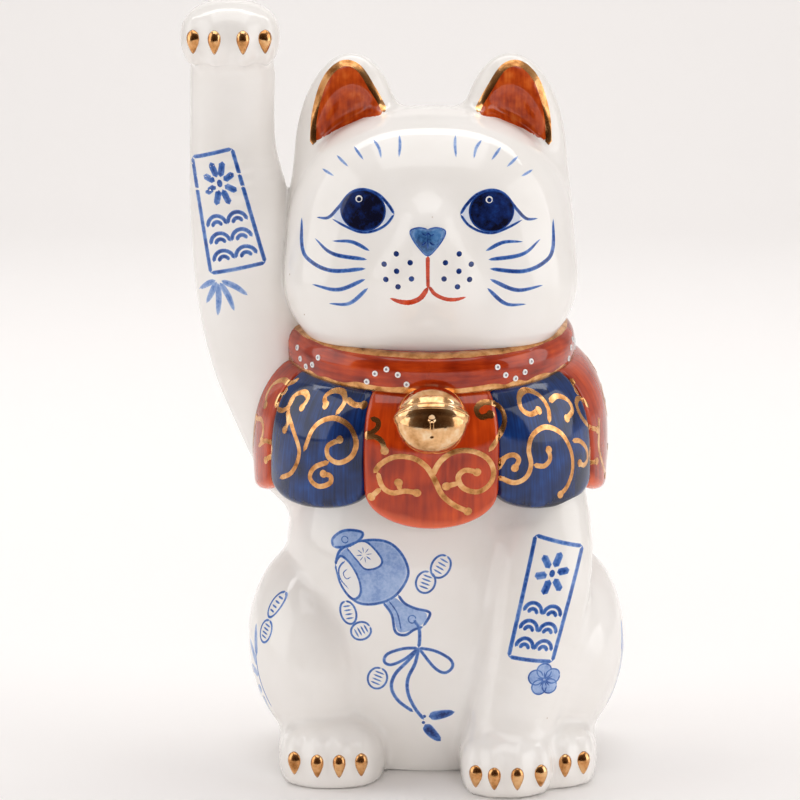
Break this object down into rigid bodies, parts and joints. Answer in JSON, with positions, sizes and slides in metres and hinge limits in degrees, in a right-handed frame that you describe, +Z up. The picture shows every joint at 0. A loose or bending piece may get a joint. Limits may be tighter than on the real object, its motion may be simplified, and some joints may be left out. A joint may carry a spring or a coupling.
{
  "type": "beckoning cat figurine",
  "caption": "Seated glazed porcelain cat with one forepaw raised, red and blue enamelled bib, collar, gilt bell and claws, painted face and underglaze motifs.",
  "frame": {"origin": "on the table under the middle of the neck, on the torso's flat base", "axes": "+Z up, -Y the way the cat faces, +X the cat's own left, away from the raised paw"},
  "size_m": [0.1372, 0.1236, 0.2378],
  "materials": {
    "porcelain": "clear-glazed white porcelain, opaque, very glossy",
    "red_enamel": "fired iron-red overglaze enamel on porcelain, opaque, glossy",
    "blue_enamel": "cobalt blue brushed under a clear glaze, opaque, glossy",
    "gilt": "bright gold lustre fired on porcelain",
    "nose_blue": "pale cobalt blue under a clear glaze, opaque, glossy"
  },
  "bodies": {
    "root": {"bell_bowl": "gilt", "bell_crown": "gilt", "bib_back_left_blue": "blue_enamel", "bib_back_red": "red_enamel", "bib_back_right_blue": "blue_enamel", "bib_front_left_blue": "blue_enamel", "bib_front_red": "red_enamel", "bib_front_right_blue": "blue_enamel", "bib_left_red": "red_enamel", "bib_right_red": "red_enamel", "collar": "red_enamel", "head": "porcelain", "left_ear": "porcelain", "left_eye": "blue_enamel", "left_foreleg": "porcelain", "left_forepaw": "porcelain", "left_forepaw_claw_1": "gilt", "left_forepaw_claw_2": "gilt", "left_forepaw_claw_3": "gilt", "left_forepaw_claw_4": "gilt", "left_hind_claw_1": "gilt", "left_hind_claw_2": "gilt", "left_hind_foot": "porcelain", "nose": "nose_blue", "raised_arm": "porcelain", "raised_paw": "porcelain", "raised_paw_claw_1": "gilt", "raised_paw_claw_2": "gilt", "raised_paw_claw_3": "gilt", "raised_paw_claw_4": "gilt", "right_ear": "porcelain", "right_eye": "blue_enamel", "right_hind_claw_1": "gilt", "right_hind_claw_2": "gilt", "right_hind_claw_3": "gilt", "right_hind_claw_4": "gilt", "right_hind_foot": "porcelain", "tail": "porcelain", "torso": "porcelain"}
  },
  "joints": []
}
